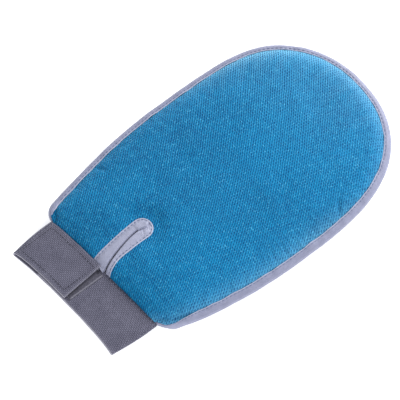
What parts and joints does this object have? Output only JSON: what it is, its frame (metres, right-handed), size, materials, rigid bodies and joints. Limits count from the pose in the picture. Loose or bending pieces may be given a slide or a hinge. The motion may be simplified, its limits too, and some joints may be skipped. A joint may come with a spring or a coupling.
{
  "type": "grooming mitt",
  "caption": "Pet grooming mitt with padded mesh back, rubber nub palm, bound edge, wrist slit, and elastic cuff closed by a hook-and-loop tab.",
  "frame": {"origin": "middle of the bounding box, on the surface that the nub tips rest on", "axes": "+Y from the cuff to the fingertips, +Z out of the back, +X to the right seen from above"},
  "size_m": [0.159, 0.275, 0.026],
  "materials": {
    "blue_mesh": "matte",
    "foam": "matte",
    "lining": "matte",
    "palm_cloth": "matte",
    "nub_rubber": "satin",
    "binding_tape": "satin",
    "elastic": "matte",
    "hook_tape": "matte",
    "loop_tape": "matte",
    "thread": "matte",
    "cuff_thread": "matte"
  },
  "bodies": {
    "mitt": {"back_mesh_panel": "blue_mesh", "back_foam": "foam", "back_lining": "lining", "palm_lining": "lining", "palm_foam": "foam", "palm_base_fabric": "palm_cloth", "palm_nub_pad": "nub_rubber", "nub_pad_thread": "thread", "edge_binding": "binding_tape", "edge_needle_thread": "thread", "edge_bobbin_thread": "thread", "slit_binding": "binding_tape", "slit_thread": "thread", "cuff_band": "elastic", "cuff_seam_thread": "cuff_thread", "loop_patch": "loop_tape", "loop_patch_thread": "cuff_thread"},
    "closure_tab": {"closure_tab": "elastic", "hook_patch": "hook_tape", "hook_patch_thread": "cuff_thread"}
  },
  "joints": [
    {"name": "tab_peel", "type": "hinge", "parent": "mitt", "child": "closure_tab", "pos_m": [-0.04836, -0.11805, 0.0166], "axis": [0.0647, -0.9979, 0], "range_deg": [0, 165]}
  ]
}
